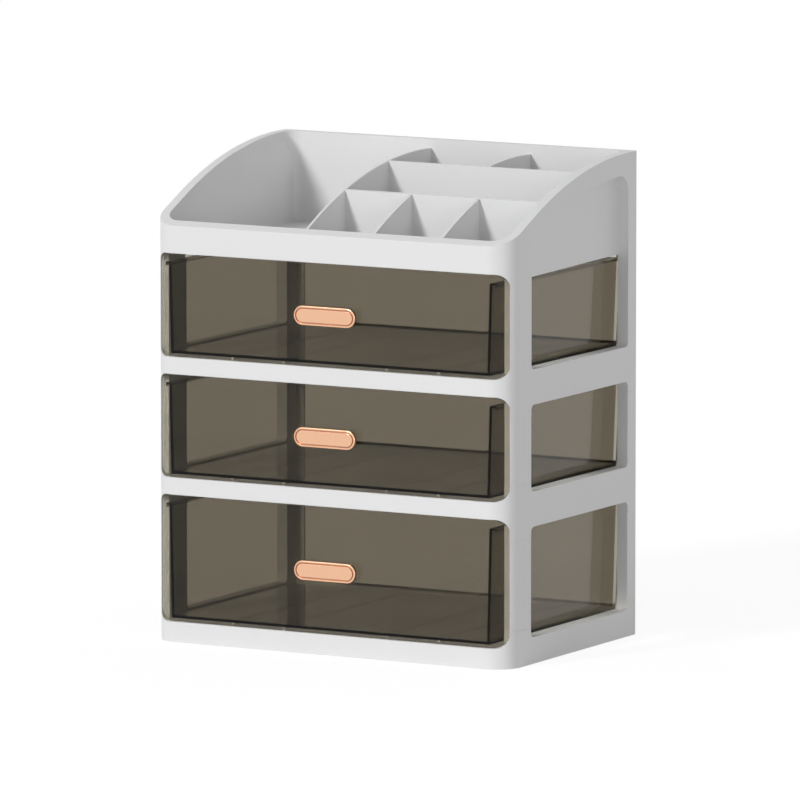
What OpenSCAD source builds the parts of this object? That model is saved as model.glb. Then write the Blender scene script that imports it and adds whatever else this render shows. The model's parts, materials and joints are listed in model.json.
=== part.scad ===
// Desktop organizer: three see-through drawers in a stacked white shell, divided tray on top.
// X is the width, Y runs from the front to the back, Z is up. The base centre is the origin.

/* [Body] */
// overall width
body_w = 235; // [200:1:280]
// overall depth
body_d = 158; // [140:1:200]
// plan radius of the front corners
front_r = 15; // [12:0.5:18]
// plan radius of the back corners
back_r = 3; // [2:0.5:5]
// thickness of the side walls and posts
wall_t = 7; // [6:0.5:9]
// thickness of the plates behind the drawers
rear_t = 1.6; // [1.2:0.1:2.4]
// width of the rear post plates, from the outer side face
rear_flange_w = 13.5; // [12:0.5:24]

/* [Tiers] */
// height of the base below the lowest drawer
base_h = 12; // [10:0.5:20]
// opening height of the lowest drawer
low_bay_h = 74.4; // [64:0.2:100]
// opening height of the two upper drawers
bay_h = 60.4; // [52:0.2:90]
// height of the shelf bands between the drawers
band_h = 10; // [8:0.5:16]
// thickness of the shelf decks
deck_t = 2.4; // [1.8:0.1:4]
// thickness of the bands below the decks
skirt_t = 3; // [2:0.5:5]
// height of the stop lip at the back of each deck
stop_h = 4.6; // [3:0.2:6]
// height of the runner ribs on the decks
run_h = 1.8; // [1:0.1:2.4]
// width of the ribs above and below the decks
rib_w = 1.8; // [1.2:0.2:3]
// spacing of the ribs
rib_pitch = 34; // [28:1:40]

/* [Side windows] */
// from the front face to the windows
win_front = 28; // [24:1:40]
// from the windows to the back face
win_back = 12.2; // [10:0.2:20]
// from a deck to the window sill
sill_h = 3.4; // [2.6:0.2:3.8]
// from the window head to the band above
head_h = 7; // [5:0.5:12]
// from the top window head to the tray
top_head_h = 3.6; // [3:0.2:5]
// corner radius of the windows
win_r = 3; // [1:0.5:5]

/* [Drawer openings] */
// side width left beside each drawer front
side_edge = 2.5; // [2:0.1:3]
// corner radius of the openings
open_r = 7; // [5:0.5:9]
// depth of the rebate that the drawer front closes into
rebate_d = 8.5; // [7:0.5:9]

/* [Stacking joints] */
// height of the corner stubs above a deck
stub_up = 9; // [8.8:0.2:12]
// length of the corner stubs below a band
stub_down = 13.5; // [12:0.5:18]
// thickness of the tenons
tenon_t = 3; // [2:0.5:4]
// length of the tenons along the side
tenon_w = 7; // [5:0.5:8]
// height of the tenons
tenon_h = 4.4; // [3:0.2:5]
// clearance around each tenon
tenon_gap = 0.15; // [0.1:0.05:0.3]

/* [Tray] */
// rise of the tray above the top drawer opening
tray_h = 56.3; // [50:0.5:80]
// thickness of the rim
rim_t = 5.4; // [4.6:0.2:6]
// thickness of the tray floor
tray_floor_t = 2.4; // [1.8:0.2:4]
// radius of the rim arc
rim_arc_r = 288; // [270:1:330]
// from the back face to the crown of the rim arc
rim_crown = 7.4; // [4:0.2:20]
// from the front face to where the rim arc turns straight
rim_line = 30.5; // [20:0.5:45]

/* [Side panels of the tray] */
// depth of the side panel at its back end
panel_in = 6.9; // [4:0.1:7]
// drop of the panel arc below the crown of the rim
panel_drop = 12.5; // [9:0.5:20]
// radius of the panel arc
panel_arc_r = 395; // [340:5:460]
// from the back face to the crown of the panel arc
panel_crown = 3.4; // [0:0.2:14]
// radius of the panel corner at the back
panel_r = 10; // [5:0.5:14]
// plastic left behind the panel
panel_skin = 2; // [1.6:0.1:3]
// drop below the crown of the rim where that thicker wall begins
pad_drop = 2.5; // [1:0.1:6]
// drop over which it leans in by its full depth
pad_lean = 17; // [14:0.5:24]

/* [Tray dividers] */
// thickness of the dividers
div_t = 1.6; // [1:0.1:3]
// from the left side to the long divider
main_from_left = 100.3; // [80:0.1:130]
// from the front face to the front cross divider
cross_front = 50.2; // [40:0.2:60]
// from the front face to the rear cross divider
cross_rear = 101.7; // [80:0.1:120]
// spacing of the short dividers in the front row
front_cell_w = 44.2; // [30:0.2:60]
// spacing of the short dividers in the rear row
rear_cell_w = 66.1; // [45:0.1:90]
// least width of the last cell of a row
last_cell_w = 24; // [15:1:30]
// drop of the divider arc below the crown of the rim
div_drop = 5.2; // [3:0.2:10]
// radius of the divider arc
div_arc_r = 295; // [270:1:330]
// from the back face to the crown of the divider arc
div_crown = 17; // [5:1:30]

/* [Drawers] */
// thickness of the drawer fronts
front_t = 1.7; // [1.7:0.1:2.6]
// how much thicker the fronts are inside the box
front_step = 0.3; // [0.3:0.1:0.8]
// clearance around each drawer front
front_gap = 0.4; // [0.3:0.1:0.8]
// how much each wall leans in down to the floor
box_draft = 1.4; // [0.4:0.1:3]
// thickness of the drawer walls
box_wall = 1.7; // [1.7:0.1:2.4]
// thickness of the drawer floor
box_floor = 1.6; // [1.6:0.1:2.6]
// from the top of a box to the top of its opening
box_top_gap = 5.3; // [4:0.1:8]
// clearance of the box above the ribs and before the stop lip
run_gap = 0.3; // [0.2:0.1:0.6]
// width of the rim that turns outward
flange_w = 2.6; // [2.6:0.1:6]
// clearance between that rim and the side walls
flange_gap = 1.6; // [1.2:0.1:3]
// thickness of that rim
flange_t = 1; // [0.8:0.1:1.6]
// depth of its turned-down lip
flange_lip = 2.4; // [1.8:0.1:4]

/* [Handles] */
// length of a handle
pull_w = 40.4; // [30:0.2:60]
// height of a handle
pull_h = 11.4; // [9:0.2:16]
// thickness of the handle plate
pull_t = 2.2; // [1.8:0.1:3]
// height of the foot between the plate and the drawer front
pull_foot = 2.4; // [1.6:0.1:6]
// width of that foot
foot_w = 24; // [14:0.5:28]
// height of that foot on the drawer front
foot_h = 6; // [5:0.2:8]
// width of the raised edge of the plate
pull_edge = 1.1; // [0.8:0.1:1.6]
// width of the groove inside the raised edge
groove_w = 0.8; // [0.4:0.1:1.2]
// depth of the groove
groove_d = 0.7; // [0.2:0.1:0.9]

/* [Handle screws] */
// thread diameter
screw_d = 3; // [2.5:0.5:4]
// head diameter
head_d = 5.8; // [5:0.2:8]
// head height
head_t = 1.9; // [1.4:0.1:2.6]
// length of thread inside the handle
screw_bite = 3.2; // [2.4:0.1:3.4]
// radial clearance of the screw in its holes
screw_gap = 0.1; // [0.05:0.05:0.3]
// length of the cross slot
slot_l = 3.4; // [2.6:0.2:4.4]
// width of the cross slot
slot_w = 0.8; // [0.6:0.1:1]
// depth of the cross slot
slot_d = 1; // [0.6:0.1:1.2]

/* [Hidden] */
$fn = 64;
eps = 0.5; // overshoot of the cuts
line_in = 0.01; // how far the straight part of the rim lies inside its arc

half_w = body_w / 2;
pull_out = pull_t + pull_foot;
// the handles count in the depth, so the body lies half of pull_out behind the origin
front_y = (pull_out - body_d) / 2;
back_y = (pull_out + body_d) / 2;
inner_x = half_w - wall_t;

// lower and upper end of each drawer opening, lowest first
bay_lo = [base_h,
          base_h + low_bay_h + band_h,
          base_h + low_bay_h + band_h + bay_h + band_h];
bay_hi = [bay_lo[0] + low_bay_h, bay_lo[1] + bay_h, bay_lo[2] + bay_h];
bays = [0, 1, 2];
top_bay = 2;

// where one module of the shell ends and the next begins
base_top = bay_lo[0] + stub_up;
low_shelf_z = [bay_hi[0] - stub_down, bay_lo[1] + stub_up];
up_shelf_z = [bay_hi[1] - stub_down, bay_lo[2] + stub_up];
tray_z = bay_hi[top_bay];
rim_z = tray_z + tray_h;

win_y0 = front_y + win_front;
win_y1 = back_y - win_back;
flange_x = half_w - rear_flange_w;
open_x = half_w - side_edge;
stop_y = back_y - rear_t;

// panel recess in the tray sides
panel_z = rim_z - panel_drop;
panel_cy = back_y - panel_crown;

// dividers
rim_in_x = half_w - rim_t;
main_x = -half_w + main_from_left;
cross1_y = front_y + cross_front;
cross2_y = front_y + cross_rear;

// drawer box
flange_out = inner_x - flange_gap;
box_x = flange_out - flange_w;
floor_x = box_x - box_draft;
box_lift = run_h + run_gap;
box_back = stop_y - run_gap;
front_in = front_t + front_step;
box_front = front_y + front_in;

// ribs, the same on every deck, well inside the floors of the boxes
rib_count = floor((inner_x - rib_w) / rib_pitch);
rib_x = [for (i = [-rib_count:rib_count]) if (i != 0 && abs(i * rib_pitch) < floor_x - 2 * rib_w)
         i * rib_pitch];

// tenons, at the middle of the front and rear posts
tenon_x = half_w - wall_t / 2;
tenon_fy = (front_y + rebate_d + win_y0) / 2;
tenon_ry = (win_y1 + back_y - rear_t) / 2;

// ---------- outlines ----------

// outline of the shell seen from above, drawn in by inset
module plan(inset = 0) {
    fr = front_r - inset;
    br = max(back_r - inset, inset > back_r ? fr : 0.5);
    x = half_w - inset;
    y0 = front_y + inset;
    y1 = back_y - inset;
    difference() {
        translate([-x, y0]) square([2 * x, y1 - y0]);
        for (s = [-1, 1]) {
            translate([s * x, y0]) corner_cut(fr);
            translate([s * x, y1]) corner_cut(br);
        }
    }
}

// square with the quarter circles taken off, centred on a corner
module corner_cut(r) {
    difference() {
        square(2 * r, center = true);
        for (a = [-1, 1], b = [-1, 1]) translate([a * r, b * r]) circle(r);
    }
}

// rectangle from p to q with corner radius r
module rounded(p, q, r) {
    difference() {
        translate(p) square(q - p);
        for (c = [p, [q[0], p[1]], q, [p[0], q[1]]]) translate(c) corner_cut(r);
    }
}

// stands an outline drawn in X and Z on its base, from y0 to y1
module along_y(y0, y1) {
    translate([0, y1, 0]) rotate([90, 0, 0]) linear_extrude(y1 - y0) children();
}

// stands an outline drawn in Y and Z on its base, from x0 to x1
module along_x(x0, x1) {
    translate([x0, 0, 0]) rotate([90, 0, 90]) linear_extrude(x1 - x0) children();
}

module block(p, q) {
    translate(p) cube(q - p);
}

// pill outline
module pill(w, h) {
    square([w - h, h], center = true);
    for (s = [-1, 1]) translate([s * (w - h) / 2, 0]) circle(h / 2);
}

// everything below an arc with its crown at [cy, cz], drawn in Y and Z down to z_low
module under_arc(r, cy, cz, z_low) {
    intersection() {
        translate([cy, cz - r]) circle(r, $fn = 360);
        translate([front_y - eps, z_low]) square([body_d + 2 * eps, cz - z_low]);
    }
}

// ---------- the white shell ----------

// one drawer opening with its rebate, windows and open back
module bay_cut(i) {
    lo = bay_lo[i];
    hi = bay_hi[i];
    head = i == top_bay ? top_head_h : 0;
    block([-inner_x, front_y + rebate_d - eps, lo], [inner_x, stop_y, hi]);
    along_y(front_y - eps, front_y + rebate_d) rounded([-open_x, lo], [open_x, hi], open_r);
    block([-flange_x, stop_y - eps, lo + stop_h], [flange_x, back_y + eps, hi - head]);
    for (s = [-1, 1]) window_cut(i, s);
}

// side window of one drawer, s is the side
module window_cut(i, s) {
    lo = bay_lo[i] + sill_h;
    hi = i == top_bay ? bay_hi[i] - top_head_h : bay_hi[i] - head_h;
    x0 = inner_x - panel_skin - eps;
    along_x(s > 0 ? x0 : -half_w - eps, s > 0 ? half_w + eps : -x0)
        difference() {
            translate([win_y0, lo]) square([win_y1 - win_y0, hi - lo]);
            for (y = [win_y0, win_y1]) {
                translate([y, lo]) corner_cut(win_r);
                if (i != top_bay) translate([y, hi]) corner_cut(win_r);
            }
        }
}

// slice of the shell between two heights, with the openings it crosses
module shell(z0, z1) {
    difference() {
        translate([0, 0, z0]) linear_extrude(z1 - z0) plan();
        for (i = bays) if (bay_lo[i] < z1 && bay_hi[i] > z0) bay_cut(i);
    }
}

// hollow below a deck whose top is at z, down to z_low
module under_deck(z, z_low) {
    difference() {
        block([-inner_x, front_y + skirt_t, z_low], [inner_x, back_y - skirt_t, z - deck_t]);
        for (x = rib_x) block([x - rib_w / 2, front_y, z_low], [x + rib_w / 2, back_y, z]);
    }
}

// runner ribs on a deck whose top is at z
module runners(z) {
    for (x = rib_x)
        block([x - rib_w / 2, front_y + rebate_d, z - eps], [x + rib_w / 2, stop_y + rear_t / 2, z + run_h]);
}

// tenons standing on z, or hanging from it with up = -1
module tenons(z, up, grow = 0, xs = [-1, 1], ys = [tenon_fy, tenon_ry]) {
    h = tenon_h + 2 * grow;
    for (s = xs, y = ys)
        block([s * tenon_x - tenon_t / 2 - grow, y - tenon_w / 2 - grow, up > 0 ? z - eps : z - h],
              [s * tenon_x + tenon_t / 2 + grow, y + tenon_w / 2 + grow, up > 0 ? z + h : z + eps]);
}

// base with the deck of the lowest drawer
module base() {
    color("white") {
        difference() {
            shell(0, base_top);
            under_deck(bay_lo[0], -eps);
            tenons(base_top, -1, tenon_gap);
        }
        runners(bay_lo[0]);
    }
}

// shelf i with its corner stubs, between the heights in z
module shelf(i, z) {
    color("white") {
        difference() {
            shell(z[0], z[1]);
            under_deck(bay_lo[i], bay_lo[i] - band_h - eps);
            tenons(z[1], -1, tenon_gap);
            tenons(z[0], 1, tenon_gap);
        }
        runners(bay_lo[i]);
    }
}

// one corner post between two heights, s is the side
module post(z0, z1, s, front) {
    y = front ? tenon_fy : tenon_ry;
    y0 = front ? front_y - eps : win_y0 + eps;
    y1 = front ? win_y1 - eps : back_y + eps;
    color("white") {
        intersection() {
            shell(z0, z1);
            block([s > 0 ? 0 : -half_w, y0, z0], [s > 0 ? half_w : 0, y1, z1]);
        }
        tenons(z1, 1, 0, [s], [y]);
        tenons(z0, -1, 0, [s], [y]);
    }
}

// wedge of the recess in the side of the tray, s is the side
module panel_wedge(s) {
    z_low = tray_z - top_head_h - eps;
    // centre of the corner: inside the back end and inside the arc
    ccy = win_y1 - panel_r;
    ccz = panel_z - panel_arc_r + sqrt(pow(panel_arc_r - panel_r, 2) - pow(panel_cy - ccy, 2));
    arc_c = [panel_cy, panel_z - panel_arc_r];
    touch = arc_c + ([ccy, ccz] - arc_c) * panel_arc_r / (panel_arc_r - panel_r);
    mirror([s > 0 ? 0 : 1, 0, 0])
        intersection() {
            along_x(half_w - panel_in - eps, half_w + eps)
                union() {
                    intersection() {
                        translate([win_y0, z_low]) square([win_y1 - win_y0, panel_z - z_low]);
                        translate(arc_c) circle(panel_arc_r, $fn = 480);
                        polygon([[win_y0, z_low], [win_y1, z_low], [win_y1, ccz], [touch[0], touch[1]],
                                 [touch[0], panel_z + eps], [win_y0, panel_z + eps]]);
                    }
                    translate([ccy, ccz]) circle(panel_r);
                }
            translate([0, 0, z_low]) linear_extrude(panel_z - z_low + eps)
                polygon([[half_w, win_y0], [half_w + eps, win_y0], [half_w + eps, win_y1],
                         [half_w - panel_in, win_y1]]);
        }
}

// thicker wall behind that recess: it follows the recess and leans out to the rim
module panel_pad(s) {
    z_low = tray_z - top_head_h;
    z_pad = rim_z - pad_drop;
    y1 = back_y - rim_t / 2;
    // the inner face runs parallel to the floor of the recess, as far as the back wall
    reach = panel_skin + panel_in * (y1 - win_y0) / (win_y1 - win_y0);
    foot_x = half_w - reach;
    mid_x = half_w - rim_t / 2;
    mirror([s > 0 ? 0 : 1, 0, 0])
        intersection() {
            along_y(win_y0, y1)
                polygon([[foot_x, z_low], [mid_x, z_low], [mid_x, z_pad], [rim_in_x, z_pad],
                         [foot_x, z_pad - pad_lean]]);
            translate([0, 0, z_low]) linear_extrude(z_pad - z_low)
                polygon([[half_w - panel_skin, win_y0], [half_w, win_y0], [half_w, y1], [foot_x, y1]]);
        }
}

// outline below the rim of the tray, in Y and Z: an arc that turns straight near the front.
// The line starts a hair inside the arc, so the two cross cleanly.
module rim_outline(z_low) {
    cy = back_y - rim_crown;
    line_y = front_y + rim_line;
    rise = sqrt(pow(rim_arc_r, 2) - pow(cy - line_y, 2));
    slope = (cy - line_y) / rise;
    line_z = rim_z - rim_arc_r + rise - line_in;
    under_arc(rim_arc_r, cy, rim_z, z_low);
    polygon([[front_y - eps, z_low], [line_y, z_low], [line_y, line_z],
             [front_y - eps, line_z - slope * (rim_line + eps)]]);
}

// tray with its rim, side panels, dividers and the posts of the top drawer
module top_tray() {
    floor_z = tray_z + tray_floor_t;
    color("white") {
        difference() {
            union() {
                difference() {
                    intersection() {
                        shell(up_shelf_z[1], rim_z + eps);
                        along_x(-half_w - eps, half_w + eps) rim_outline(up_shelf_z[1] - eps);
                    }
                    translate([0, 0, floor_z]) linear_extrude(tray_h) plan(rim_t);
                }
                intersection() {
                    for (s = [-1, 1]) panel_pad(s);
                    along_x(-half_w, half_w) rim_outline(up_shelf_z[1] - eps);
                }
                dividers(floor_z);
            }
            for (s = [-1, 1]) panel_wedge(s);
        }
        tenons(up_shelf_z[1], -1);
    }
}

// dividers standing on the tray floor at z, their feet sunk into the floor and the rim
module dividers(z) {
    intersection() {
        translate([0, 0, z - tray_floor_t / 2]) linear_extrude(tray_h) divider_plan(rim_t / 2);
        along_x(main_x - div_t, half_w) under_arc(div_arc_r, back_y - div_crown, rim_z - div_drop, tray_z);
    }
}

// lines of the dividers seen from above, run into the rim by sink
module divider_plan(sink) {
    y0 = front_y + rim_t - sink;
    y1 = back_y - rim_t + sink;
    wall([main_x, y0], [main_x, y1]);
    for (y = [cross1_y, cross2_y]) wall([main_x, y], [rim_in_x + sink, y]);
    for (x = [main_x + front_cell_w:front_cell_w:rim_in_x - last_cell_w]) wall([x, y0], [x, cross1_y]);
    for (x = [main_x + rear_cell_w:rear_cell_w:rim_in_x - last_cell_w]) wall([x, cross2_y], [x, y1]);
}

// straight wall seen from above, along one axis from p to q
module wall(p, q) {
    side = div_t / 2 * (p[0] == q[0] ? [1, 0] : [0, 1]);
    translate(p - side) square(q - p + 2 * side);
}

// ---------- drawers ----------

// tapered box between two heights, drawn in by inset, from y_front on
module box_solid(lo, hi, inset, y_front) {
    x0 = floor_x - inset;
    x1 = box_x - inset;
    y0 = box_back - box_draft - inset;
    y1 = box_back - inset;
    intersection() {
        along_y(y_front, back_y) polygon([[-x0, lo], [x0, lo], [x1, hi], [-x1, hi]]);
        along_x(-half_w, half_w) polygon([[y_front, lo], [y0, lo], [y1, hi], [y_front, hi]]);
    }
}

// one moulded drawer: wrapped front, box, turned-out rim
module drawer(i) {
    lo = bay_lo[i] + box_lift;
    hi = bay_hi[i] - box_top_gap;
    mid = (bay_lo[i] + bay_hi[i]) / 2;
    color([0.36, 0.33, 0.28, 0.55])
        difference() {
            union() {
                // front, flush with the shell and wrapped round its corners
                intersection() {
                    along_y(front_y - eps, front_y + rebate_d - front_gap)
                        rounded([-open_x + front_gap, bay_lo[i] + front_gap],
                                [open_x - front_gap, bay_hi[i] - front_gap], open_r - front_gap);
                    difference() {
                        translate([0, 0, bay_lo[i]]) linear_extrude(bay_hi[i] - bay_lo[i]) plan();
                        translate([0, 0, bay_lo[i] - eps])
                            linear_extrude(bay_hi[i] - bay_lo[i] + 2 * eps) plan(front_t);
                    }
                }
                box_solid(lo, hi, 0, front_y + front_t / 2);
                box_rim(hi);
            }
            box_solid(lo + box_floor, hi + eps, box_wall, box_front);
            translate([0, front_y, mid]) rotate([90, 0, 0])
                cylinder(h = 4 * front_in, r = screw_d / 2 + screw_gap, center = true);
        }
}

// rim turned outward and down along both sides of a box whose top is at hi
module box_rim(hi) {
    y1 = box_back - flange_t;
    intersection() {
        for (s = [0, 1])
            mirror([s, 0, 0]) {
                block([box_x - box_wall / 2, front_y, hi - flange_t], [flange_out, y1, hi]);
                block([flange_out - flange_t, front_y, hi - flange_lip], [flange_out, y1, hi]);
            }
        translate([0, 0, hi - 2 * flange_lip]) linear_extrude(3 * flange_lip) plan(front_t / 2);
    }
}

// handle of drawer i
module pull(i) {
    mid = (bay_lo[i] + bay_hi[i]) / 2;
    plate_y1 = front_y - pull_foot;
    plate_y0 = plate_y1 - pull_t;
    color([0.93, 0.72, 0.58])
        difference() {
            union() {
                translate([0, 0, mid]) along_y(plate_y0, plate_y1) pill(pull_w, pull_h);
                translate([0, 0, mid]) along_y(plate_y1 - eps, front_y) pill(foot_w, foot_h);
            }
            translate([0, 0, mid]) along_y(plate_y0 - eps, plate_y0 + groove_d)
                difference() {
                    pill(pull_w - 2 * pull_edge, pull_h - 2 * pull_edge);
                    pill(pull_w - 2 * (pull_edge + groove_w), pull_h - 2 * (pull_edge + groove_w));
                }
            translate([0, front_y + eps, mid]) rotate([90, 0, 0])
                cylinder(h = screw_bite + 2 * eps, r = screw_d / 2 + screw_gap);
        }
}

// screw that holds the handle of drawer i, put in from inside the drawer
module pull_screw(i) {
    mid = (bay_lo[i] + bay_hi[i]) / 2;
    color([0.75, 0.75, 0.77])
        translate([0, 0, mid])
            difference() {
                rotate([90, 0, 0]) {
                    translate([0, 0, -box_front - head_t]) cylinder(h = head_t, r = head_d / 2);
                    translate([0, 0, -box_front - head_t / 2])
                        cylinder(h = head_t / 2 + front_in + screw_bite, r = screw_d / 2);
                }
                for (q = [[slot_l, slot_w], [slot_w, slot_l]])
                    block([-q[0] / 2, box_front + head_t - slot_d, -q[1] / 2],
                          [q[0] / 2, box_front + head_t + eps, q[1] / 2]);
            }
}

// ---------- nodes ----------

module upper_shelf() { shelf(2, up_shelf_z); }
module lower_shelf() { shelf(1, low_shelf_z); }
module mid_post_front_left() { post(low_shelf_z[1], up_shelf_z[0], -1, true); }
module mid_post_front_right() { post(low_shelf_z[1], up_shelf_z[0], 1, true); }
module mid_post_rear_left() { post(low_shelf_z[1], up_shelf_z[0], -1, false); }
module mid_post_rear_right() { post(low_shelf_z[1], up_shelf_z[0], 1, false); }
module low_post_front_left() { post(base_top, low_shelf_z[0], -1, true); }
module low_post_front_right() { post(base_top, low_shelf_z[0], 1, true); }
module low_post_rear_left() { post(base_top, low_shelf_z[0], -1, false); }
module low_post_rear_right() { post(base_top, low_shelf_z[0], 1, false); }
module top_drawer() { drawer(2); }
module middle_drawer() { drawer(1); }
module bottom_drawer() { drawer(0); }
module top_handle() { pull(2); }
module middle_handle() { pull(1); }
module bottom_handle() { pull(0); }
module top_handle_screw() { pull_screw(2); }
module middle_handle_screw() { pull_screw(1); }
module bottom_handle_screw() { pull_screw(0); }

base();
lower_shelf();
upper_shelf();
top_tray();
low_post_front_left();
low_post_front_right();
low_post_rear_left();
low_post_rear_right();
mid_post_front_left();
mid_post_front_right();
mid_post_rear_left();
mid_post_rear_right();
bottom_drawer();
middle_drawer();
top_drawer();
bottom_handle();
middle_handle();
top_handle();
bottom_handle_screw();
middle_handle_screw();
top_handle_screw();
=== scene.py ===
"""Looks of the desktop organizer: white stacked shell, smoked see-through drawers, rose-gold handles."""

import json
import math

import bmesh
import bpy
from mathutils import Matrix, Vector


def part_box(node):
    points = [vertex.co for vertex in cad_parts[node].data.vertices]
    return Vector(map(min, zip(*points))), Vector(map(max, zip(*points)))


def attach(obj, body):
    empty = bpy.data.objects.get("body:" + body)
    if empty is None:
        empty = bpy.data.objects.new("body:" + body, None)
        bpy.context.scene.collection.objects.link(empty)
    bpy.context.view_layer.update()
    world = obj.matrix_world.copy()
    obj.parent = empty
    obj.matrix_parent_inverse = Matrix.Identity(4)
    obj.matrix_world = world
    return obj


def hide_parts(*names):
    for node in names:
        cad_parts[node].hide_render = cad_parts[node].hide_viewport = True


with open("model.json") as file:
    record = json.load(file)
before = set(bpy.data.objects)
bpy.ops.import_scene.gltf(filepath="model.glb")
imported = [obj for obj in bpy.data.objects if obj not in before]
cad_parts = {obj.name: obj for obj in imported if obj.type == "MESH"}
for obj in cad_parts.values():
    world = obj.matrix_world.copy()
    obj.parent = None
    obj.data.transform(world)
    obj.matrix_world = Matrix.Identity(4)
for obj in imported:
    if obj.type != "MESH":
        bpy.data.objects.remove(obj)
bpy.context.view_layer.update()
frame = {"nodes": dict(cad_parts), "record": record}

MM = 0.001

# ---------- sizes read from the frame ----------

FRONT_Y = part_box("base")[0].y
BACK_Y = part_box("base")[1].y
SIDE_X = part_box("base")[1].x
RIM_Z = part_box("top_tray")[1].z
DRAWER_TOP_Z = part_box("top_drawer")[1].z
HANDLE_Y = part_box("top_handle")[0].y

# ---------- camera: found from the photograph's vanishing lines ----------

# place and reach in metres, tilt and turn in degrees, lens and sensor in millimetres
CAMERA_PLACE = (3.07093, -5.52129, 0.99190)
CAMERA_REACH = 100
CAMERA_TILT = 82.315
CAMERA_TURN = 29.046
CAMERA_LENS = 494.64
CAMERA_SENSOR = 36


def make_camera():
    """Camera at the photograph's place, with its long lens."""
    data = bpy.data.cameras.new("camera")
    data.lens = CAMERA_LENS
    data.sensor_width = CAMERA_SENSOR
    data.clip_end = CAMERA_REACH
    camera = bpy.data.objects.new("camera", data)
    camera.location = CAMERA_PLACE
    camera.rotation_euler = (math.radians(CAMERA_TILT), 0, math.radians(CAMERA_TURN))
    bpy.context.scene.collection.objects.link(camera)
    bpy.context.scene.camera = camera


# ---------- shader nodes ----------

WHITE = (1, 1, 1, 1)
# places of the sockets of a colour Mix node
MIX_FACTOR, MIX_FIRST, MIX_SECOND, MIX_RESULT = 0, 6, 7, 2


def grey(value):
    """Opaque grey colour."""
    return (value, value, value, 1)


def node(tree, kind, **values):
    """New shader node with its sockets and settings filled in."""
    made = tree.nodes.new(kind)
    for name, value in values.items():
        key = name.replace("_", " ")
        if key in made.inputs:
            made.inputs[key].default_value = value
        else:
            setattr(made, name, value)
    return made


def combined(tree, operation, first, second):
    """Result of an operation on two values."""
    made = node(tree, "ShaderNodeMath", operation=operation)
    tree.links.new(first, made.inputs[0])
    tree.links.new(second, made.inputs[1])
    return made.outputs[0]


def either(tree, factor, first, second):
    """The first shader where the factor is 0, and the second where it is 1."""
    mix = node(tree, "ShaderNodeMixShader")
    for source, socket in zip((factor, first, second), mix.inputs):
        tree.links.new(source, socket)
    return mix.outputs[0]


def noise(tree, place, scale, detail, roughness):
    """Noise at a place, from 0 to 1."""
    made = node(tree, "ShaderNodeTexNoise", Scale=scale, Detail=detail, Roughness=roughness)
    tree.links.new(place, made.inputs["Vector"])
    return made.outputs["Fac"]


def ranged(tree, factor, low, high):
    """Value that goes from low to high as the factor goes from 0 to 1."""
    made = node(tree, "ShaderNodeMapRange", To_Min=low, To_Max=high)
    tree.links.new(factor, made.inputs["Value"])
    return made.outputs[0]


def blend(tree, factor, first, second):
    """Colour from the first, which may be a socket, to the second as the factor goes from 0 to 1."""
    mix = node(tree, "ShaderNodeMix", data_type="RGBA")
    if isinstance(first, bpy.types.NodeSocket):
        tree.links.new(first, mix.inputs[MIX_FIRST])
    else:
        mix.inputs[MIX_FIRST].default_value = first
    mix.inputs[MIX_SECOND].default_value = second
    tree.links.new(factor, mix.inputs[MIX_FACTOR])
    return mix.outputs[MIX_RESULT]


def switch_for_looks(tree, lit, looked_at):
    """Shader that is looked_at for the camera, mirrors and glass, and lit for all other light."""
    path = node(tree, "ShaderNodeLightPath")
    clear = combined(tree, "MAXIMUM", path.outputs["Is Glossy Ray"], path.outputs["Is Transmission Ray"])
    seen = combined(tree, "MAXIMUM", path.outputs["Is Camera Ray"], clear)
    return either(tree, seen, lit.outputs[0], looked_at.outputs[0])


# ---------- light and floor ----------

SKY_LIGHT = 0.385
# name, direction, strength and spread in degrees of the key light and of the fill light
SUNS = [("key", Vector((0.34, 1.0, -0.51)), 1.90, 10.0),
        ("fill", Vector((-0.75, 0.65, -0.12)), 0.35, 20.0)]

# the floor: how far it reaches and lies below the object, how pale it is for the object, and how much of
# its shadow the camera sees
FLOOR_REACH = 6.0
FLOOR_DROP = 0.2 * MM
FLOOR_ALBEDO = 0.9
SHADOW_SHARE = 0.15


def make_world():
    """Even pale sky that shows as white."""
    world = bpy.data.worlds.new("studio")
    bpy.context.scene.world = world
    world.use_nodes = True
    tree = world.node_tree
    tree.nodes.clear()
    sky = node(tree, "ShaderNodeBackground", Color=WHITE, Strength=SKY_LIGHT)
    white = node(tree, "ShaderNodeBackground", Color=WHITE, Strength=1.0)
    out = node(tree, "ShaderNodeOutputWorld")
    tree.links.new(switch_for_looks(tree, sky, white), out.inputs[0])


def make_suns():
    """Key light from the front left, above, and a weak fill light from the front right."""
    for name, direction, strength, spread in SUNS:
        data = bpy.data.lights.new(name, "SUN")
        data.energy = strength
        data.angle = math.radians(spread)
        sun = bpy.data.objects.new(name, data)
        sun.rotation_euler = direction.to_track_quat("-Z", "Y").to_euler()
        bpy.context.scene.collection.objects.link(sun)


def pale_floor():
    """Floor that lights the object as a pale one does and shows as white with a light shadow."""
    material = bpy.data.materials.new("floor")
    material.use_nodes = True
    tree = material.node_tree
    tree.nodes.clear()
    # what the open floor gets from the sky and the suns
    open_light = SKY_LIGHT + sum(-way.normalized().z * strength for _, way, strength, _ in SUNS) / math.pi
    lit = node(tree, "ShaderNodeBsdfDiffuse", Color=grey(FLOOR_ALBEDO))
    shaded = node(tree, "ShaderNodeBsdfDiffuse", Color=grey(SHADOW_SHARE))
    glow = node(tree, "ShaderNodeEmission", Color=WHITE, Strength=1 - SHADOW_SHARE * open_light)
    looked_at = node(tree, "ShaderNodeAddShader")
    tree.links.new(shaded.outputs[0], looked_at.inputs[0])
    tree.links.new(glow.outputs[0], looked_at.inputs[1])
    out = node(tree, "ShaderNodeOutputMaterial")
    tree.links.new(switch_for_looks(tree, lit, looked_at), out.inputs[0])
    return material


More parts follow.
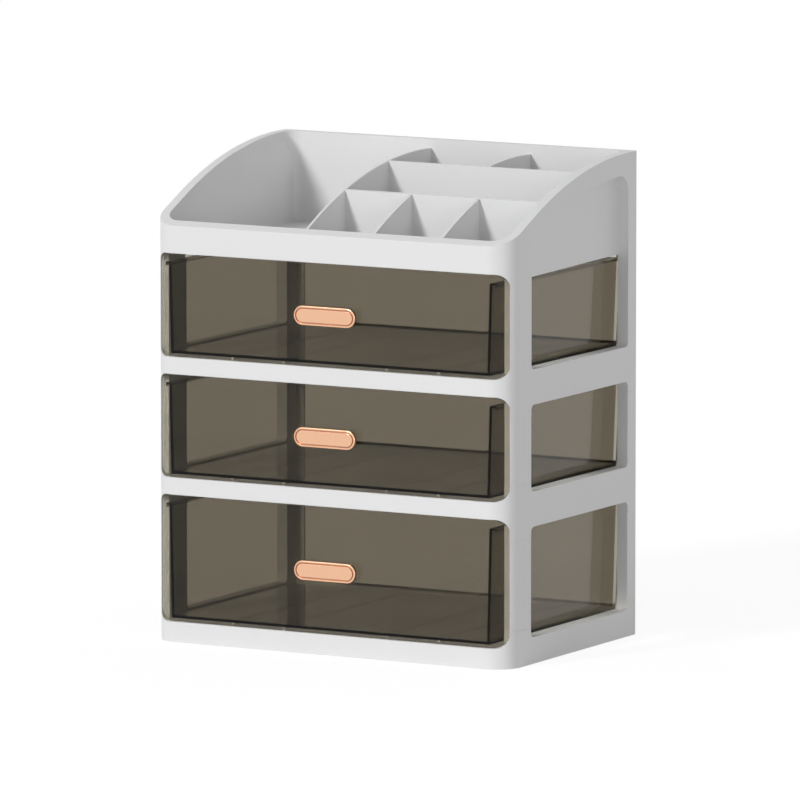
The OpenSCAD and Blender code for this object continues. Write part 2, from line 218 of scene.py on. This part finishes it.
def make_floor():
    """Flat floor just below the object."""
    mesh = bpy.data.meshes.new("floor")
    corners = [(x * FLOOR_REACH, y * FLOOR_REACH, 0) for x, y in ((-1, -1), (1, -1), (1, 1), (-1, 1))]
    mesh.from_pydata(corners, [], [(0, 1, 2, 3)])
    mesh.materials.append(pale_floor())
    floor = bpy.data.objects.new("floor", mesh)
    floor.location.z = -FLOOR_DROP
    bpy.context.scene.collection.objects.link(floor)


# ---------- materials ----------

def new_material(name):
    """Material with its tree, its principled shader and the socket of the object's own coordinates."""
    material = bpy.data.materials.new(name)
    material.use_nodes = True
    tree = material.node_tree
    place = node(tree, "ShaderNodeTexCoord").outputs["Object"]
    return material, tree, tree.nodes["Principled BSDF"], place


WHITE_TINTS = ((0.705, 0.705, 0.710, 1), (0.735, 0.735, 0.738, 1))
WHITE_ROUGHNESS = (0.36, 0.50)
# each noise is its scale for each metre, its detail and its roughness
WHITE_WAVE = (14.0, 3.0, 0.5)
WHITE_GRAIN = (2200.0, 2.0, 0.6)
GRAIN_STRENGTH = 0.10
GRAIN_DEPTH = 0.12 * MM
WHITE_IOR = 1.49


def moulded_white():
    """Satin white plastic with the faint grain and waviness of a moulding."""
    material, tree, shader, place = new_material("moulded_white")
    wave = noise(tree, place, *WHITE_WAVE)
    tree.links.new(blend(tree, wave, *WHITE_TINTS), shader.inputs["Base Color"])
    tree.links.new(ranged(tree, wave, *WHITE_ROUGHNESS), shader.inputs["Roughness"])
    bump = node(tree, "ShaderNodeBump", Strength=GRAIN_STRENGTH, Distance=GRAIN_DEPTH)
    tree.links.new(noise(tree, place, *WHITE_GRAIN), bump.inputs["Height"])
    tree.links.new(bump.outputs[0], shader.inputs["Normal"])
    shader.inputs["IOR"].default_value = WHITE_IOR
    return material


# what the two faces of a wall let through, and what each SMOKE_WALL of plastic between them lets through
SMOKE_FACES = (0.386, 0.358, 0.304, 1)
SMOKE_COLOR = (0.96, 0.96, 0.95)
SMOKE_WALL = 2.0 * MM
# how much of the whole density the colour that is taken off most uses
DENSITY_SHARE = 0.9
SMOKE_IOR = 1.26
SMOKE_ROUGHNESS = (0.0, 0.005)
SMOKE_WAVE = (9.0, 2.0, 0.4)


def smoked_clear():
    """Polished tinted plastic: its faces take most of the light, and the plastic between them a little."""
    material, tree, shader, place = new_material("smoked_clear")
    wave = noise(tree, place, *SMOKE_WAVE)
    tree.links.new(ranged(tree, wave, *SMOKE_ROUGHNESS), shader.inputs["Roughness"])
    shader.inputs["Base Color"].default_value = SMOKE_FACES
    shader.inputs["Transmission Weight"].default_value = 1.0
    shader.inputs["IOR"].default_value = SMOKE_IOR
    # the drawers throw no shadow: light on its way to what they hide from a lamp passes whole
    path = node(tree, "ShaderNodeLightPath")
    passed = node(tree, "ShaderNodeBsdfTransparent")
    surface = either(tree, path.outputs["Is Shadow Ray"], shader.outputs[0], passed.outputs[0])
    out = tree.nodes["Material Output"]
    tree.links.new(surface, out.inputs["Surface"])
    # absorption takes off density times (1 - colour) for each metre
    taken = [-math.log(share) / SMOKE_WALL for share in SMOKE_COLOR]
    density = max(taken) / DENSITY_SHARE
    color = (*[1 - rate / density for rate in taken], 1)
    smoke = node(tree, "ShaderNodeVolumeAbsorption", Color=color, Density=density)
    tree.links.new(smoke.outputs[0], out.inputs["Volume"])
    return material


LACQUER_TINTS = ((0.80, 0.475, 0.305, 1), (0.86, 0.515, 0.335, 1))
LACQUER_ROUGHNESS = (0.20, 0.30)
LACQUER_GRAIN = (900.0, 2.0, 0.6)
# colour of the painted shade in the groove and on the sides of the handle at the same depth
GROOVE_PAINTED_SHADE = (0.46, 0.22, 0.14, 1)
# how far behind the front of a handle the painted shade of the groove lies: from, fully from, fully to, to
PAINTED_SHADE_DEPTHS = [0.25 * MM, 0.60 * MM, 0.75 * MM, 0.95 * MM]


def painted_groove_shade(tree, place):
    """Mask of the painted shade: 1 at the depth of the groove behind the front of a handle, and 0 away from
    it.
    """
    split = node(tree, "ShaderNodeSeparateXYZ")
    tree.links.new(place, split.inputs[0])
    start, full, last, end = [HANDLE_Y + depth for depth in PAINTED_SHADE_DEPTHS]
    ramps = []
    for low, high in ((start, full), (end, last)):
        ramp = node(tree, "ShaderNodeMapRange", From_Min=low, From_Max=high)
        tree.links.new(split.outputs["Y"], ramp.inputs["Value"])
        ramps.append(ramp.outputs[0])
    return combined(tree, "MULTIPLY", *ramps)


def rose_gold_lacquer():
    """Satin rose-gold lacquer with a faint metallic grain, and painted shade at the depth of the groove and
    on the sides of the handle at that depth.
    """
    material, tree, shader, place = new_material("rose_gold_lacquer")
    grain = noise(tree, place, *LACQUER_GRAIN)
    lacquer = blend(tree, grain, *LACQUER_TINTS)
    # painted shade: the lacquer turns dark at the depth of the groove
    shaded = blend(tree, painted_groove_shade(tree, place), lacquer, GROOVE_PAINTED_SHADE)
    tree.links.new(shaded, shader.inputs["Base Color"])
    tree.links.new(ranged(tree, grain, *LACQUER_ROUGHNESS), shader.inputs["Roughness"])
    shader.inputs["Metallic"].default_value = 1.0
    return material


ZINC_COLOR = (0.62, 0.62, 0.64, 1)
ZINC_ROUGHNESS = (0.22, 0.40)
ZINC_GRAIN = (1500.0, 1.0, 0.5)


def zinc_steel():
    """Zinc-plated steel of the screws."""
    material, tree, shader, place = new_material("zinc_steel")
    grain = noise(tree, place, *ZINC_GRAIN)
    tree.links.new(ranged(tree, grain, *ZINC_ROUGHNESS), shader.inputs["Roughness"])
    shader.inputs["Base Color"].default_value = ZINC_COLOR
    shader.inputs["Metallic"].default_value = 1.0
    return material


# ---------- which radius an edge gets ----------

# least part of a unit normal or direction that points up, straight along an axis, or to the front
UPWARD = 0.5
STRAIGHT = 0.9
FORWARD = 0.3
# most of a unit normal that points up on a face that counts as upright
UPRIGHT = 0.2


def middle_of(edge):
    """Middle of an edge."""
    return (edge.verts[0].co + edge.verts[1].co) / 2


def even(radius):
    """The same radius on every sharp edge."""
    return lambda edge: radius


def faces_up(edge):
    """True if a face beside the edge looks up."""
    return any(face.normal.z > UPWARD for face in edge.link_faces)


def looks_out(edge):
    """True if the upright face beside the edge looks away from the middle of the tray."""
    for face in edge.link_faces:
        if abs(face.normal.z) < UPRIGHT:
            middle = face.calc_center_median()
            return face.normal.dot(Vector((middle.x, middle.y, 0))) > 0
    return False


RIM_ROUND = 2.0 * MM
RECESS_ROUND = 2.0 * MM
TRAY_ROUND = 0.4 * MM
# the outside of the tray: how near to its sides, its front and its back
SKIN = 0.3 * MM
CORNER_DEPTH = 15 * MM
BACK_WALL = 3.1 * MM
# how far the arched rim comes down, and where the recessed side panels lie from the side and the drawer
RIM_DROP = 45 * MM
RECESS_DEPTH = 7.2 * MM
RECESS_START = 2 * MM


def on_outside(middle):
    """True if a point lies on a side of the tray, or by its front or its back."""
    on_side = abs(abs(middle.x) - SIDE_X) < SKIN
    return on_side or middle.y < FRONT_Y + CORNER_DEPTH or middle.y > BACK_Y - BACK_WALL


def tray_radius(edge):
    """Large radius on the outer edge of the rim, soft edges round the side panels, small ones elsewhere."""
    middle = middle_of(edge)
    if middle.z > RIM_Z - RIM_DROP and on_outside(middle) and faces_up(edge) and looks_out(edge):
        return RIM_ROUND
    in_recess = middle.z > DRAWER_TOP_Z + RECESS_START and abs(middle.x) > SIDE_X - RECESS_DEPTH
    if in_recess and not edge.is_convex:
        return RECESS_ROUND
    return TRAY_ROUND


FLOOR_ROUND = 0.8 * MM
INNER_ROUND = 1.2 * MM
CORNER_ROUND = 0.4 * MM
FRONT_ROUND = 0.7 * MM
DRAWER_ROUND = 0.35 * MM
# how far behind the front of the shell an edge is surely one of the box, and up to where one of the front
BOX_START = 20 * MM
FRONT_DEPTH = 8 * MM
# the least length of a corner of the box and of an edge along its floor, and how far down the floor lies
CORNER_LENGTH = 30 * MM
FLOOR_LENGTH = 120 * MM
FLOOR_DOWN = 20 * MM
# the edges of the screw hole lie nearer to the middle than this
HOLE_REACH = 3 * MM


def top_beside(edge):
    """Height of the highest point of the faces beside an edge."""
    return max(vert.co.z for face in edge.link_faces for vert in face.verts)


def drawer_radius(edge):
    """Larger radii along the floor of the box and on the front, small ones elsewhere."""
    middle = middle_of(edge)
    along = (edge.verts[1].co - edge.verts[0].co).normalized()
    on_box = middle.y > FRONT_Y + BOX_START
    if on_box and abs(along.z) > STRAIGHT and edge.calc_length() > CORNER_LENGTH:
        return CORNER_ROUND
    beside_level = any(abs(face.normal.z) > STRAIGHT for face in edge.link_faces)
    on_floor = beside_level and middle.z < top_beside(edge) - FLOOR_DOWN
    if on_box and on_floor and edge.calc_length() > FLOOR_LENGTH:
        return FLOOR_ROUND if edge.is_convex else INNER_ROUND
    faces_front = any(face.normal.y < -FORWARD for face in edge.link_faces)
    on_front = middle.y < FRONT_Y + FRONT_DEPTH and abs(middle.x) > HOLE_REACH
    if edge.is_convex and faces_front and on_front:
        return FRONT_ROUND
    return DRAWER_ROUND


OUTLINE_ROUND = 0.6 * MM
HANDLE_ROUND = 0.08 * MM
# how near to the front the edges of the outline lie, and how deep no side face of the groove is
FRONT_LEVEL = 0.1 * MM
GROOVE_DEPTH = 1.5 * MM


def beside_groove(edge):
    """True if the edge runs along the groove: its side face is as deep as the groove only."""
    depths = []
    for face in edge.link_faces:
        places = [vert.co.y for vert in face.verts]
        depths.append(max(places) - min(places))
    return max(depths) < GROOVE_DEPTH


def handle_radius(edge):
    """Soft outline on the front of the handle, small radii elsewhere."""
    front = min(vert.co.y for face in edge.link_faces for vert in face.verts)
    outline = edge.is_convex and middle_of(edge).y < front + FRONT_LEVEL and not beside_groove(edge)
    return OUTLINE_ROUND if outline else HANDLE_ROUND


# ---------- pieces ----------

# an edge sharper than SHARP is rounded, and faces within FLAT of each other are one face
SHARP = math.radians(22)
FLAT = math.radians(0.2)
WELD = 0.02 * MM
ROUND_STEPS = 3
# all of the weight of the shading goes to the larger faces
LARGE_FACES = 100
SHELL_ROUND = 0.3 * MM
SCREW_ROUND = 0.15 * MM


def join_faces(bm):
    """Weld the mesh of a CAD node and join its flat triangles to whole faces."""
    bmesh.ops.remove_doubles(bm, verts=bm.verts, dist=WELD)
    bmesh.ops.dissolve_degenerate(bm, edges=bm.edges, dist=WELD)
    # a face that runs all round several pockets can't be one polygon, so the underside keeps its edges
    lowest = min(vert.co.z for vert in bm.verts) + WELD
    upper = [edge for edge in bm.edges if max(vert.co.z for vert in edge.verts) > lowest]
    bmesh.ops.dissolve_limit(bm, angle_limit=FLAT, verts=bm.verts, edges=upper)


def weigh_edges(bm, radius_of):
    """Write the radius of each sharp edge as its share of the widest one, which is returned."""
    weights = bm.edges.layers.float.new("bevel_weight_edge")
    sharp = [edge for edge in bm.edges if edge.is_manifold and edge.calc_face_angle(0) > SHARP]
    radii = {edge: radius_of(edge) for edge in sharp}
    widest = max(radii.values())
    for edge, radius in radii.items():
        edge[weights] = radius / widest
    return widest


def moulded_copy(cad_node, body, material, radius_of, clamp=True):
    """Piece in the shape of a CAD node, its flat faces whole and its edges rounded.

    radius_of(edge) gives the radius of a sharp edge. With clamp, short edges beside it may make it smaller.
    """
    mesh = frame["nodes"][cad_node].data.copy()
    mesh.name = cad_node + "_moulded"
    bm = bmesh.new()
    bm.from_mesh(mesh)
    join_faces(bm)
    widest = weigh_edges(bm, radius_of)
    for face in bm.faces:
        face.smooth = True
    bm.to_mesh(mesh)
    bm.free()
    mesh.materials.clear()
    mesh.materials.append(material)
    piece = bpy.data.objects.new(cad_node + "_moulded", mesh)
    bpy.context.scene.collection.objects.link(piece)
    rounding = piece.modifiers.new("rounding", "BEVEL")
    rounding.limit_method = "WEIGHT"
    rounding.width = widest
    rounding.segments = ROUND_STEPS
    rounding.miter_outer = "MITER_ARC"
    rounding.use_clamp_overlap = clamp
    normals = piece.modifiers.new("normals", "WEIGHTED_NORMAL")
    normals.weight = LARGE_FACES
    normals.keep_sharp = True
    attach(piece, body)
    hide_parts(cad_node)


def make_pieces():
    """One piece for each CAD node, in the material of its kind."""
    white = moulded_white()
    smoke = smoked_clear()
    gold = rose_gold_lacquer()
    steel = zinc_steel()
    for body, names in frame["record"]["behaviour"]["bodies"].items():
        for name in names:
            if name.endswith("_drawer"):
                moulded_copy(name, body, smoke, drawer_radius)
            elif name.endswith("_handle"):
                moulded_copy(name, body, gold, handle_radius, clamp=False)
            elif name.endswith("_screw"):
                moulded_copy(name, body, steel, even(SCREW_ROUND))
            elif name == "top_tray":
                moulded_copy(name, body, white, tray_radius)
            else:
                moulded_copy(name, body, white, even(SHELL_ROUND))


make_camera()
make_world()
make_suns()
make_floor()
make_pieces()
bpy.context.scene.view_settings.view_transform = "Standard"
